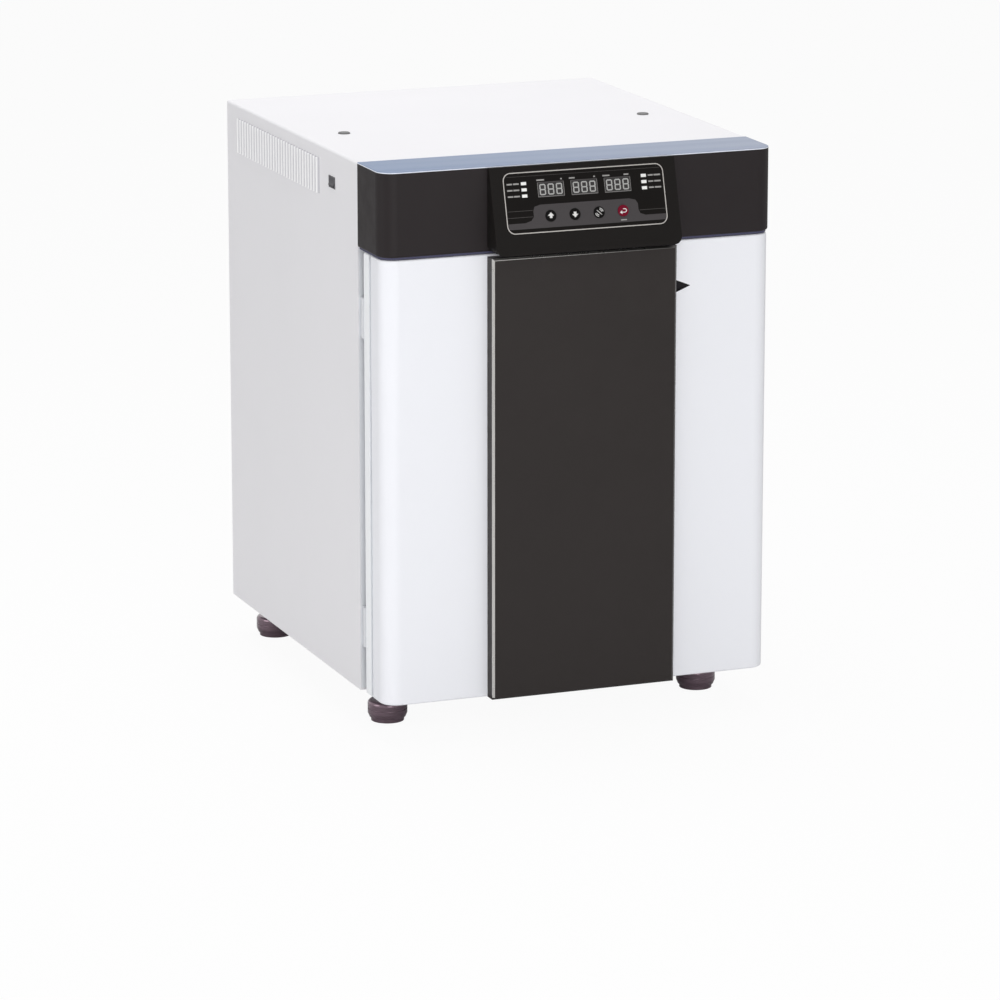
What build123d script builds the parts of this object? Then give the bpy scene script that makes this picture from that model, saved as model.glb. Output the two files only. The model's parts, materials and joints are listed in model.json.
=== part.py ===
from build123d import *
import os
from math import atan2, cos, radians, sin, sqrt, tan

# A bench-top carbon dioxide incubator: a steel cabinet on four levelling feet, with a black head
# and control block, a solid outer door over a glass inner door, and a stainless chamber inside.
# Millimetres. X runs to the viewer's right, Y to the back, Z up. The floor is Z = 0, and X = 0 and
# Y = 0 are the middle of the whole object's box.

# Cabinet casing
cabinet_width = 620.0
cabinet_depth = 605.0
cabinet_height = 800.0
casing_sheet = 1.5
cover_flange = 12.0
cover_bend = 4.0
side_lip = 15.0
base_plate = 2.0

# Levelling feet
foot_height = 62.0
foot_pad_height = 32.0
foot_pad_radius = 30.0
foot_pad_round = 6.0
foot_sole_radius = 25.0
foot_sole_height = 6.0
foot_cone_height = 6.0
foot_groove_height = 18.5
foot_groove_width = 1.6
foot_groove_depth = 0.8
foot_stem_radius = 8.0
foot_nut_radius = 13.0
foot_nut_height = 8.0
foot_side_inset = 57.0
foot_end_inset = 40.0
foot_boss_radius = 14.0
foot_boss_height = 20.0
thread_clearance = 0.08
pocket_clearance = 2.0

# Louvres in the two side panels
louvre_count = 31
louvre_from_front = 165.0
louvre_from_back = 59.4
louvre_below_top = 20.0
louvre_height = 54.0
louvre_land = 3.8
louvre_reach = 4.0
louvre_root = 1.8
louvre_sheet = 1.2

# Head above the door
head_height = 126.0
front_depth = 102.0
front_corner = 25.0
head_wall = 3.0
head_edge = 3.0
trim_thickness = 2.0
trim_bevel = 0.8
head_seal_inset = 3.0
head_seal_width = 8.0
head_seal_thickness = 3.0

# Control block on the head
block_top_reach = 6.0
block_reach = 42.0
block_drop = 1.0
block_wall = 3.0
block_corner = 12.0
overlay_side_margin = 18.0
overlay_height = 92.0
overlay_corner = 13.0
overlay_from_top = 8.0
overlay_thickness = 1.2
display_side_inset = 54.5
display_gap = 10.5
display_height = 22.5
display_from_top = 36.0
lamp_width = 8.2
lamp_height = 4.6
lamp_side_inset = 33.5
lamp_pitch = 9.1
lamp_from_top = 25.5
lamp_rows = 3
key_radius = 8.4
key_pitch = 38.0
key_from_top = 75.0
key_stand = 0.8
key_travel = 0.8
key_stem_radius = 5.0
key_clearance = 0.3
key_cap_thickness = 1.7
key_switch_height = 2.1
board_depth = 12.0
board_thickness = 1.6
board_margin = 6.0
board_post_radius = 3.5
display_module_depth = 7.0

# Outer door
door_top_gap = 4.0
door_side_gap = 2.0
gasket_depth = 20.0
gasket_width = 18.0
gasket_inset = 45.0
door_rim_depth = 22.0
groove_depth = 8.0
groove_inset = 8.0
door_skin_wall = 2.0
door_edge = 3.0
inner_panel_wall = 2.5
dish_margin = 85.0
dish_depth = 6.0
dish_corner = 30.0

# Black centre panel of the outer door
centre_panel_width = 292.0
centre_panel_reach = 22.0
centre_panel_top_gap = 3.0
centre_panel_wall = 3.0
centre_panel_bevel = 3.4
bright_strip = 0.8

# Finger scoop beside the centre panel
scoop_half_height = 14.0
scoop_length = 28.0
scoop_depth = 16.0
scoop_wall = 1.5
scoop_below_top = 66.0
scoop_behind_panel = 6.0

# Hinges
hinge_axis_inset = 7.0
hinge_axis_reach = 12.0
hinge_length = 60.0
hinge_knuckle_radius = 6.0
hinge_pin_radius = 3.0
hinge_leaf = 2.5
hinge_leaf_width = 26.0
hinge_end_offset = 70.0
hinge_web = 6.0
pin_clearance = 0.05
knuckle_gap = 0.3

# Chamber
chamber_side_margin = 110.0
chamber_rear_margin = 153.0
chamber_above_base = 85.0
chamber_below_top = 215.0
front_frame_thickness = 12.0
liner_sheet = 1.2
liner_corner = 20.0
liner_flange = 16.0
mouth_corner = 2.0
film_thickness = 1.0
film_margin = 60.0
top_insulation = 60.0
back_insulation = 70.0

# Glass door
glass_overlap = 15.0
glass_thickness = 5.0
glass_corner = 10.0
glass_stand = 3.3
glass_gasket_thickness = 3.0
glass_gasket_width = 9.0
glass_gasket_margin = 3.0
glass_hinge_length = 40.0
glass_knuckle_radius = 4.0
glass_pin_radius = 2.0
glass_hinge_offset = 9.0
glass_clip_length = 34.0
glass_bracket_sheet = 0.8
latch_offset = 17.0
latch_boss_radius = 6.5
latch_boss_depth = 12.5
latch_pin_radius = 3.0
latch_lever_length = 34.0
latch_lever_width = 9.0
latch_lever_thickness = 3.0
latch_glass_gap = 0.6

# Shelves and water pan
shelf_sheet = 1.5
shelf_side_gap = 8.0
shelf_setback = 30.0
shelf_back_gap = 10.0
shelf_first = 130.0
shelf_below_top = 130.0
shelf_count = 3
shelf_lip = 11.0
shelf_slot_columns = 6
shelf_slot_rows = 9
shelf_slot_land = 6.8
shelf_slot_row_land = 20.8
rail_upright_width = 20.0
rail_upright_thickness = 4.0
rail_end_margin = 24.0
rail_upright_inset = 60.0
runner_leg = 12.0
runner_sheet = 1.5
slide_clearance = 0.3
pan_side_gap = 30.0
pan_height = 45.0
pan_wall = 1.5
pan_corner = 18.0
pan_rim = 5.0

# Fan and its cover
duct_depth = 40.0
duct_side_margin = 70.0
duct_end_gap = 30.0
duct_sheet = 1.2
intake_radius = 62.0
intake_slots = 9
intake_pitch = 13.0
intake_slot_width = 6.0
fan_radius = 66.0
fan_hub_radius = 12.0
fan_plate = 1.5
fan_depth = 26.0
fan_blades = 20
fan_blade_thickness = 1.2
fan_blade_length = 17.0
fan_blade_lean = 35.0
fan_ring_width = 4.0
fan_gap = 6.0
shaft_radius = 4.0
shaft_clearance = 0.05
shaft_hole_clearance = 2.0
motor_radius = 34.0
motor_length = 46.0
motor_flange = 84.0
motor_flange_thickness = 4.0
motor_shaft_depth = 30.0

# Service fittings
rear_reach = 28.0
port_inset = 42.0
port_below_top = 100.0
port_radius = 14.0
port_wall = 3.0
port_flange_radius = 24.0
port_flange = 2.5
plug_clearance = 0.3
plug_length = 60.0
plug_head_radius = 20.0
plug_head = 10.0
gas_inset = 50.0
gas_line_height = 20.0
gas_tube_radius = 4.0
gas_collar_radius = 10.0
gas_collar = 5.0
gas_neck_radius = 6.0
gas_nut = 6.0
gas_stub = 25.0
gas_tube_length = 40.0
filter_radius = 19.7
filter_length = 60.0
filter_neck_radius = 9.0
filter_neck = 8.0
valve_size = 40.0
valve_coil = 28.0
valve_coil_height = 30.0
nozzle_drop = 18.0
probe_x = -80.0
probe_pitch = 26.0
sensor_radius = 9.0
thermometer_radius = 3.0
probe_cap = 12.0
probe_drop = 26.0
probe_hole_clearance = 0.3
inlet_inset = 110.0
inlet_below_top = 62.0
inlet_flange_width = 50.0
inlet_flange_height = 26.0
inlet_flange = 3.0
inlet_body_width = 32.0
inlet_body_height = 24.0
inlet_body_depth = 28.0
inlet_socket_width = 24.0
inlet_socket_height = 16.5
inlet_socket_depth = 17.0
inlet_blade_width = 4.0
inlet_blade_thickness = 2.0
inlet_blade_pitch = 7.0
inlet_blade_length = 14.0

# Mains switch
switch_from_front = 111.0
switch_below_top = 48.0
switch_width = 27.0
switch_height = 18.0
switch_bezel = 1.0
switch_body_depth = 20.0
switch_wall = 2.1
rocker_height = 12.0
rocker_depth = 6.0
rocker_tilt = 8.0
rocker_proud = 1.6
rocker_dip = 0.6
rocker_pivot_depth = 3.0
rocker_clearance = 0.3

# Top plugs
top_plug_inset = 66.0
top_plug_from_front = 243.0
top_plug_radius = 9.0
top_plug_height = 2.0
top_plug_stem_radius = 6.0
top_plug_stem = 8.0

# Equipment in the top compartment
equipment_sheet = 1.5
equipment_margin = 10.0
supply_width = 150.0
supply_depth = 180.0
supply_height = 45.0
supply_from_back = 275.0
supply_inset = 110.0
supply_slot_count = 9
supply_slot_pitch = 12.0
supply_slot_width = 1.8
supply_slot_depth = 2.0
control_width = 240.0
control_depth = 180.0
control_inset = 210.0
control_from_front = 50.0
control_post_height = 10.0
control_post_radius = 4.0
control_post_inset = 10.0
transformer_size = 40.0
transformer_inset = 34.0
relay_width = 22.0
relay_depth = 14.0
relay_height = 12.0
relay_pitch = 28.0
relay_offset = 40.0
terminal_inset = 28.0
terminal_depth = 10.0
terminal_height = 10.0
lead_slot_width = 60.0
lead_slot_height = 24.0
cut_past = 5.0

# Main planes, worked out from the sizes above
half = cabinet_width / 2
block_width = centre_panel_width
overlay_width = block_width - 2 * overlay_side_margin
lamp_column = overlay_width / 2 - lamp_side_inset
display_width = (overlay_width - 2 * display_side_inset - 2 * display_gap) / 3
display_pitch = display_width + display_gap
louvre_pitch = (cabinet_depth - louvre_from_front - louvre_from_back + louvre_land) / louvre_count
louvre_run = louvre_pitch - louvre_land
total_depth = block_reach + front_depth + cabinet_depth + rear_reach
front = -total_depth / 2 + block_reach + front_depth
back = front + cabinet_depth
head_front = front - front_depth
base = foot_height
top = base + cabinet_height
head_bottom = top - head_height
trim_bottom = top - trim_thickness
inside_half = half - casing_sheet
inside_back = back - casing_sheet
inside_top = top - casing_sheet
pan_plate_top = base + casing_sheet + base_plate
door_top = head_bottom - door_top_gap
door_bottom = base
door_half = half - door_side_gap
door_middle = (door_top + door_bottom) / 2
door_height = door_top - door_bottom
door_back = front - gasket_depth
rim_front = door_back - door_rim_depth
skin_back = rim_front - groove_depth
centre_panel_top = door_top - centre_panel_top_gap
centre_panel_front = head_front - centre_panel_reach

chamber_half = half - chamber_side_margin
chamber_front = front + front_frame_thickness
slab_front = chamber_front + liner_sheet
chamber_back = back - chamber_rear_margin
chamber_floor = base + chamber_above_base
chamber_top = top - chamber_below_top
chamber_middle = (chamber_floor + chamber_top) / 2
liner_back = chamber_back + liner_sheet
wall_inside = chamber_half + liner_sheet + film_thickness
insulation_top = chamber_top + liner_sheet + top_insulation
insulation_back = liner_back + back_insulation
equipment_top = insulation_top + equipment_sheet
duct_front = chamber_back - duct_depth
duct_middle = (duct_front + chamber_back) / 2
duct_half_width = chamber_half - duct_side_margin
shelf_half_width = chamber_half - shelf_side_gap
pan_half_width = chamber_half - pan_side_gap
port_x = port_inset - chamber_half
port_z = chamber_top - port_below_top
gas_x = chamber_half - gas_inset
gas_z = equipment_top + gas_line_height
inlet_x = inlet_inset - half
inlet_z = top - inlet_below_top
supply_x = supply_inset - half
control_x = half - control_inset
top_plug_spread = half - top_plug_inset


# Shape helpers
def block(x0, x1, y0, y1, z0, z1):
    """A box between two corners."""
    centre = Pos((x0 + x1) / 2, (y0 + y1) / 2, (z0 + z1) / 2)
    return centre * Box(x1 - x0, y1 - y0, z1 - z0)


def rod_y(radius, y0, y1, x, z):
    """A cylinder along Y."""
    return Pos(x, (y0 + y1) / 2, z) * Rot(90, 0, 0) * Cylinder(radius, y1 - y0)


def rod_z(radius, z0, z1, x, y):
    """An upright cylinder."""
    return Pos(x, y, (z0 + z1) / 2) * Cylinder(radius, z1 - z0)


def wall_plate(width, height, corner, y0, y1, x, z):
    """An upright plate facing the front, with rounded corners, centred on x and z."""
    face = RectangleRounded(width, height, corner) if corner else Rectangle(width, height)
    return Pos(x, y1, z) * Rot(90, 0, 0) * extrude(face, amount=y1 - y0)


def front_rounded(half_width, y0, y1, z0, z1, corner):
    """A block whose two upright front edges are rounded."""
    body = block(-half_width, half_width, y0, y1, z0, z1)
    edges = body.edges().filter_by(Axis.Z).sort_by(Axis.Y)[:2]
    return fillet(edges, corner)


def prism_x(points, x0, x1):
    """A solid along X whose side profile is given as (y, z) points."""
    face = Plane.YZ * make_face(Polyline(*points, close=True))
    return Pos((x0 + x1) / 2, 0, 0) * extrude(face, amount=(x1 - x0) / 2, both=True)


def prism_y(points, y0, y1):
    """A solid along Y whose front profile is given as (x, z) points."""
    face = make_face(Polyline(*points, close=True))
    return Pos(0, y1, 0) * Rot(90, 0, 0) * extrude(face, amount=y1 - y0)


def prism_z(points, z0, z1):
    """An upright solid whose plan is given as (x, y) points."""
    face = make_face(Polyline(*points, close=True))
    return Pos(0, 0, z0) * extrude(face, amount=z1 - z0)


def front_outline_edges(body, face_index):
    """Edges of the lowest or highest face, without the rear one."""
    return body.faces().sort_by(Axis.Z)[face_index].edges().sort_by(Axis.Y)[:-1]


def mirrored(shape):
    """The same shape on the other side of the middle plane."""
    return mirror(shape, about=Plane.YZ)


def save(name, *shapes):
    """Write one sub-part, as one solid or as a group of separate solids."""
    solids = [solid for shape in shapes for solid in shape.solids()]
    whole = solids[0] if len(solids) == 1 else Compound(children=solids)
    export_step(whole, f"parts/{name}.step")


# Places of the four feet, by name
foot_places = {}
for side_name, side in (("left", -1), ("right", 1)):
    foot_x = side * (half - foot_side_inset)
    foot_places["front_" + side_name] = (foot_x, front + foot_end_inset)
    foot_places["rear_" + side_name] = (foot_x, back - foot_end_inset)


# Cabinet casing
def top_cover():
    """Folded cover with rounded side edges and two holes for the plugs."""
    outer = block(-half, half, front, back, top - cover_flange, top)
    outer = fillet(outer.edges().filter_by(Axis.Y).sort_by(Axis.Z)[-2:], cover_bend)
    inner = block(-inside_half, inside_half, front, inside_back, top - cover_flange, inside_top)
    inner = fillet(inner.edges().filter_by(Axis.Y).sort_by(Axis.Z)[-2:], cover_bend - casing_sheet)
    cover = outer - inner
    for x in (-top_plug_spread, top_plug_spread):
        y = front + top_plug_from_front
        cover -= rod_z(top_plug_stem_radius, inside_top - cut_past, top + cut_past, x, y)
    return cover


def louvre(y, z0, z1):
    """One pressed hood on the right side: a slanting blade, closed at both ends, open to the rear."""
    x_out = half + louvre_reach
    y_open = y + louvre_run
    blade = [(half, y), (x_out, y_open), (x_out - louvre_sheet, y_open), (half - louvre_sheet, y)]
    cheek = [(half, y), (x_out, y_open), (half, y_open)]
    hood = prism_z(blade, z0, z1)
    hood += prism_z(cheek, z0, z0 + louvre_sheet)
    hood += prism_z(cheek, z1 - louvre_sheet, z1)
    return hood


def side_panel():
    """Right side panel with its bank of louvres and its folded lower lip."""
    panel = block(inside_half, half, front, back, base, top - cover_flange)
    panel += block(half - side_lip, half, front, back, base, base + casing_sheet)
    z1 = top - louvre_below_top
    z0 = z1 - louvre_height
    hoods = []
    slots = []
    for i in range(louvre_count):
        y = front + louvre_from_front + i * louvre_pitch
        hoods.append(louvre(y, z0, z1))
        slots.append(block(inside_half - cut_past, half, y + louvre_root, y + louvre_run,
                           z0 + louvre_sheet, z1 - louvre_sheet))
    return panel - slots + hoods


def left_side_panel():
    """Left side panel: the mirrored one, with the cut-out for the mains switch."""
    panel = mirrored(side_panel())
    y = front + switch_from_front
    z = top - switch_below_top
    y_half = switch_width / 2 - switch_wall / 2
    z_half = switch_height / 2 - switch_wall / 2
    return panel - block(-half - cut_past, -inside_half + cut_past, y - y_half, y + y_half,
                         z - z_half, z + z_half)


def back_panel():
    """Rear sheet with the holes for the port, the gas inlet and the power inlet."""
    panel = block(-inside_half, inside_half, inside_back, back, pan_plate_top, top - cover_flange)
    y0 = inside_back - cut_past
    y1 = back + cut_past
    panel -= rod_y(port_radius + port_wall, y0, y1, port_x, port_z)
    panel -= rod_y(gas_neck_radius, y0, y1, gas_x, gas_z)
    x_half = inlet_body_width / 2
    z_half = inlet_body_height / 2
    return panel - block(inlet_x - x_half, inlet_x + x_half, y0, y1, inlet_z - z_half, inlet_z + z_half)


def base_pan():
    """Floor sheet with a threaded boss over each foot."""
    pan = block(-inside_half, inside_half, front, inside_back, base + casing_sheet, pan_plate_top)
    for x, y in foot_places.values():
        pan += rod_z(foot_boss_radius, base + casing_sheet, pan_plate_top + foot_boss_height, x, y)
        pan -= rod_z(foot_stem_radius + thread_clearance, base, top, x, y)
    return pan


def levelling_foot(x, y):
    """Turned round pad with a stepped sole and a groove, on a stem with its lock nut."""
    cone_top = foot_sole_height + foot_cone_height
    pad = rod_z(foot_pad_radius, cone_top, foot_pad_height, x, y)
    pad = fillet(pad.edges().group_by(Axis.Z)[-1], foot_pad_round)
    groove_top = foot_groove_height + foot_groove_width
    groove = rod_z(foot_pad_radius + cut_past, foot_groove_height, groove_top, x, y)
    pad -= groove - rod_z(foot_pad_radius - foot_groove_depth, foot_groove_height, groove_top, x, y)
    cone_middle = foot_sole_height + foot_cone_height / 2
    cone_bottom_radius = (foot_sole_radius + foot_pad_radius) / 2
    pad += Pos(x, y, cone_middle) * Cone(cone_bottom_radius, foot_pad_radius, foot_cone_height)
    foot = pad + rod_z(foot_sole_radius, 0, foot_sole_height, x, y)
    hexagon = RegularPolygon(foot_nut_radius, 6)
    foot += Pos(x, y, foot_pad_height) * extrude(hexagon, amount=foot_nut_height)
    return foot + rod_z(foot_stem_radius, foot_pad_height, pan_plate_top + foot_boss_height, x, y)


def top_plug(x):
    """Round cover plug pressed into the top."""
    y = front + top_plug_from_front
    plug = rod_z(top_plug_radius, top, top + top_plug_height, x, y)
    plug = fillet(plug.edges().group_by(Axis.Z)[-1], trim_bevel)
    stem_radius = top_plug_stem_radius - thread_clearance
    return plug + rod_z(stem_radius, top - top_plug_stem, top, x, y)


# Insulation and chamber
def insulation():
    """Five mineral wool slabs round the chamber, with pockets for the bosses and holes for services."""
    side = block(wall_inside, inside_half, slab_front, liner_back, pan_plate_top, insulation_top)
    floor_top = chamber_floor - liner_sheet - film_thickness
    floor = block(-wall_inside, wall_inside, slab_front, liner_back, pan_plate_top, floor_top)
    ceiling = block(-wall_inside, wall_inside, slab_front, liner_back, chamber_top + liner_sheet,
                    insulation_top)
    rear = block(-inside_half, inside_half, liner_back, insulation_back, pan_plate_top, insulation_top)
    slabs = [side, mirrored(side), floor, ceiling, rear]
    holes = [rod_z(foot_boss_radius + pocket_clearance, base, pan_plate_top + foot_boss_height
                   + pocket_clearance, x, y) for x, y in foot_places.values()]
    holes += service_holes()
    return [slab - holes for slab in slabs]


def service_holes():
    """Holes through liner and insulation for the shaft, the port, the gas pipe and the probes."""
    holes = [rod_y(shaft_radius + shaft_hole_clearance, duct_front, insulation_back + cut_past, 0,
                   chamber_middle)]
    holes.append(rod_y(port_radius + port_wall, duct_middle, insulation_back + cut_past, port_x, port_z))
    upper = equipment_top + cut_past
    lower = chamber_top - cut_past
    holes.append(rod_z(gas_tube_radius + probe_hole_clearance, lower, upper, gas_x, duct_middle))
    for x, radius in probe_places():
        holes.append(rod_z(radius + probe_hole_clearance, lower, upper, x, duct_middle))
    return holes


def probe_places():
    """X and radius of the gas sensor and of the thermometer."""
    return [(probe_x, sensor_radius), (probe_x - probe_pitch, thermometer_radius)]


def chamber_liner():
    """Seamless stainless box with wide radii for wiping out, and a flange round its open front."""
    def hollow(grow):
        body = block(-chamber_half - grow, chamber_half + grow, chamber_front, chamber_back + grow,
                     chamber_floor - grow, chamber_top + grow)
        long_edges = body.edges().filter_by(Axis.Y)
        rear_edges = body.faces().sort_by(Axis.Y)[-1].edges()
        return fillet(long_edges + rear_edges, liner_corner + grow)
    flange = wall_plate(2 * (chamber_half + liner_flange), chamber_top - chamber_floor + 2 * liner_flange,
                        liner_corner, chamber_front, slab_front, 0, chamber_middle)
    liner = hollow(liner_sheet) + flange - hollow(0)
    return liner - service_holes()


def front_frame():
    """Painted face frame round the chamber mouth, with a slot for the leads to the head."""
    frame = block(-inside_half, inside_half, front, chamber_front, pan_plate_top, inside_top)
    upper_corners = frame.edges().filter_by(Axis.Y).sort_by(Axis.Z)[-2:]
    frame = fillet(upper_corners, cover_bend - casing_sheet)
    cut_back = chamber_front + cut_past
    frame -= wall_plate(2 * chamber_half, chamber_top - chamber_floor, mouth_corner, front - cut_past,
                        cut_back, 0, chamber_middle)
    z = top - head_height / 2
    frame -= wall_plate(lead_slot_width, lead_slot_height, 0, front - cut_past, cut_back, 0, z)
    return frame


def ring_gasket(half_width, z0, z1, width, y0, y1, corner):
    """A rectangular seal between its outer edges, with the given strip width."""
    z = (z0 + z1) / 2
    outer = wall_plate(2 * half_width, z1 - z0, corner, y0, y1, 0, z)
    inner_width = 2 * (half_width - width)
    inner = wall_plate(inner_width, z1 - z0 - 2 * width, corner / 2, y0 - cut_past, y1 + cut_past, 0, z)
    return outer - inner


def glass_door_gasket():
    """Flat seal on the face frame, just outside the chamber mouth, that the glass closes on."""
    grow = glass_gasket_width + glass_gasket_margin
    return ring_gasket(chamber_half + grow, chamber_floor - grow, chamber_top + grow,
                       glass_gasket_width, front - glass_gasket_thickness, front, liner_corner)


def heating_films():
    """Thin heating sheets between liner and insulation, on both sides and under the floor."""
    y0 = chamber_front + film_margin
    y1 = chamber_back - film_margin
    z0 = chamber_floor + film_margin
    z1 = chamber_top - film_margin
    side = block(chamber_half + liner_sheet, wall_inside, y0, y1, z0, z1)
    under = chamber_floor - liner_sheet
    x = chamber_half - film_margin
    return [side, mirrored(side), block(-x, x, y0, y1, under - film_thickness, under)]


# Shelves, rails and water pan
shelf_pitch = (chamber_top - shelf_below_top - chamber_floor - shelf_first) / (shelf_count - 1)
shelf_levels = [chamber_floor + shelf_first + i * shelf_pitch for i in range(shelf_count)]
shelf_front = chamber_front + shelf_setback
shelf_back = duct_front - shelf_back_gap


def shelf(z):
    """Slotted stainless shelf with turned-down front and rear lips; z is its underside."""
    plate = block(-shelf_half_width, shelf_half_width, shelf_front, shelf_back, z, z + shelf_sheet)
    length = shelf_back - shelf_front
    x_pitch = 2 * shelf_half_width / (shelf_slot_columns + 1)
    y_pitch = length / (shelf_slot_rows + 1)
    slot = Box(x_pitch - shelf_slot_land, y_pitch - shelf_slot_row_land, cut_past)
    grid = GridLocations(x_pitch, y_pitch, shelf_slot_columns, shelf_slot_rows)
    middle = Pos(0, (shelf_front + shelf_back) / 2, z)
    plate -= [middle * place * slot for place in grid]
    x = shelf_half_width - runner_leg
    plate += block(-x, x, shelf_front, shelf_front + shelf_sheet, z - shelf_lip, z)
    return plate + block(-x, x, shelf_back - shelf_sheet, shelf_back, z - shelf_lip, z)


def shelf_rail():
    """Right-hand rail: two uprights carrying three angle runners."""
    wall = chamber_half
    face = wall - rail_upright_thickness
    z0 = chamber_floor + rail_end_margin
    z1 = chamber_top - rail_end_margin
    middle_y = (shelf_front + shelf_back) / 2
    spread = (shelf_back - shelf_front) / 2 - rail_upright_inset
    upright = Box(rail_upright_thickness, rail_upright_width, z1 - z0)
    middle = Pos((face + wall) / 2, middle_y, (z0 + z1) / 2)
    rail = middle * Pos(0, -spread, 0) * upright + middle * Pos(0, spread, 0) * upright
    for level in shelf_levels:
        seat = level - slide_clearance
        inner = shelf_half_width - runner_leg + slide_clearance
        rail += block(inner, face, shelf_front, shelf_back, seat - runner_sheet, seat)
        rail += block(face - runner_sheet, face, shelf_front, shelf_back, seat - runner_sheet,
                      seat + runner_leg)
    return rail


def water_pan():
    """Drawn humidity pan with rounded corners and a flat rim."""
    z0 = chamber_floor + slide_clearance
    z1 = z0 + pan_height
    y0 = shelf_front
    y1 = shelf_back

    def tub(x_half, y_front, y_rear, bottom, corner):
        body = block(-x_half, x_half, y_front, y_rear, bottom, z1)
        body = fillet(body.edges().filter_by(Axis.Z), corner)
        return fillet(body.faces().sort_by(Axis.Z)[0].edges(), corner / 2)
    x = pan_half_width - pan_rim
    outer = tub(x, y0 + pan_rim, y1 - pan_rim, z0, pan_corner)
    inner = tub(x - pan_wall, y0 + pan_rim + pan_wall, y1 - pan_rim - pan_wall, z0 + pan_wall,
                pan_corner - pan_wall)
    rim = block(-pan_half_width, pan_half_width, y0, y1, z1 - pan_wall, z1)
    rim = fillet(rim.edges().filter_by(Axis.Z), pan_corner)
    return outer + rim - inner


# Fan and duct
def fan_cover():
    """Duct plate with returned sides and a round intake of level slots in front of the fan."""
    z0 = chamber_floor + duct_end_gap
    z1 = chamber_top - duct_end_gap
    cover = block(-duct_half_width, duct_half_width, duct_front, chamber_back, z0, z1)
    x = duct_half_width - duct_sheet
    cover -= block(-x, x, duct_front + duct_sheet, chamber_back, z0, z1)
    rows = (intake_slots - 1) / 2
    for i in range(intake_slots):
        rise = (i - rows) * intake_pitch
        reach = sqrt(intake_radius ** 2 - rise ** 2)
        z = chamber_middle + rise
        cover -= block(-reach, reach, duct_front - cut_past, duct_front + cut_past,
                       z - intake_slot_width / 2, z + intake_slot_width / 2)
    return cover


def fan_wheel():
    """Centrifugal wheel with leaning blades between a back plate and a ring, on its long shaft."""
    y_front = duct_front + fan_gap
    y_rear = y_front + fan_depth
    wheel = rod_y(fan_radius, y_rear - fan_plate, y_rear, 0, chamber_middle)
    ring = rod_y(fan_radius, y_front, y_front + fan_plate, 0, chamber_middle)
    ring -= rod_y(fan_radius - fan_ring_width, y_front, y_front + fan_plate, 0, chamber_middle)
    wheel += ring
    wheel += rod_y(fan_hub_radius, y_front + fan_depth / 2, y_rear, 0, chamber_middle)
    lean = radians(fan_blade_lean)
    blade_middle = fan_radius - fan_ring_width - fan_blade_length * cos(lean) / 2
    blade = Box(fan_blade_length, fan_depth, fan_blade_thickness)
    centre = Pos(0, (y_front + y_rear) / 2, chamber_middle)
    for i in range(fan_blades):
        turn = Rot(0, i * 360 / fan_blades, 0)
        wheel += centre * turn * Pos(blade_middle, 0, 0) * Rot(0, fan_blade_lean, 0) * blade
    shaft_end = insulation_back + motor_shaft_depth
    return wheel + rod_y(shaft_radius, y_front + fan_depth / 2, shaft_end, 0, chamber_middle)


def fan_motor():
    """Round motor on a square flange, screwed to the rear slab, with its shaft bore."""
    y1 = insulation_back + motor_flange_thickness
    motor = block(-motor_flange / 2, motor_flange / 2, insulation_back, y1,
                  chamber_middle - motor_flange / 2, chamber_middle + motor_flange / 2)
    motor = fillet(motor.edges().filter_by(Axis.Y), motor_flange_thickness)
    motor += rod_y(motor_radius, y1, y1 + motor_length, 0, chamber_middle)
    bore_end = insulation_back + motor_shaft_depth + knuckle_gap
    return motor - rod_y(shaft_radius + shaft_clearance, insulation_back, bore_end, 0, chamber_middle)


# Services in the rear and in the top compartment
def port_sleeve():
    """Tube of the access port, from the chamber's rear wall to a flange on the back panel."""
    sleeve = rod_y(port_radius + port_wall, chamber_back, back, port_x, port_z)
    sleeve += rod_y(port_flange_radius, back, back + port_flange, port_x, port_z)
    return sleeve - rod_y(port_radius, chamber_back, back + port_flange, port_x, port_z)


def port_plug():
    """Soft stopper with a grip head that seats on the port's flange."""
    face = back + port_flange + plug_clearance
    plug = rod_y(port_radius - plug_clearance, face - plug_length, face, port_x, port_z)
    head = rod_y(plug_head_radius, face, face + plug_head, port_x, port_z)
    return plug + fillet(head.edges().group_by(Axis.Y)[-1], port_flange)


def gas_inlet():
    """Hose spigot with a collar outside the back panel and a nut inside."""
    inlet = rod_y(gas_tube_radius, back - gas_stub, back + rear_reach, gas_x, gas_z)
    inlet += rod_y(gas_collar_radius, back, back + gas_collar, gas_x, gas_z)
    inlet += rod_y(gas_neck_radius, inside_back, back, gas_x, gas_z)
    nut = Rot(90, 0, 0) * extrude(RegularPolygon(gas_collar_radius, 6), amount=gas_nut)
    return inlet + Pos(gas_x, inside_back, gas_z) * nut


filter_end = back - gas_stub - gas_tube_length
filter_start = filter_end - filter_length
valve_back = duct_middle + valve_size / 2


def gas_filter():
    """Sterile gas filter: a drum between two stepped necks."""
    drum = rod_y(filter_radius, filter_start + filter_neck, filter_end - filter_neck, gas_x, gas_z)
    rims = drum.edges().filter_by(GeomType.CIRCLE)
    return fillet(rims, trim_bevel) + rod_y(filter_neck_radius, filter_start, filter_end, gas_x, gas_z)


def gas_valve():
    """Solenoid valve: a square body under a round coil."""
    x = valve_size / 2
    body = block(gas_x - x, gas_x + x, duct_middle - x, valve_back, equipment_top, equipment_top
                 + valve_size)
    body = chamfer(body.edges().filter_by(Axis.Z), trim_bevel)
    coil_top = equipment_top + valve_size + valve_coil_height
    return body + rod_z(valve_coil / 2, equipment_top + valve_size, coil_top, gas_x, duct_middle)


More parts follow.
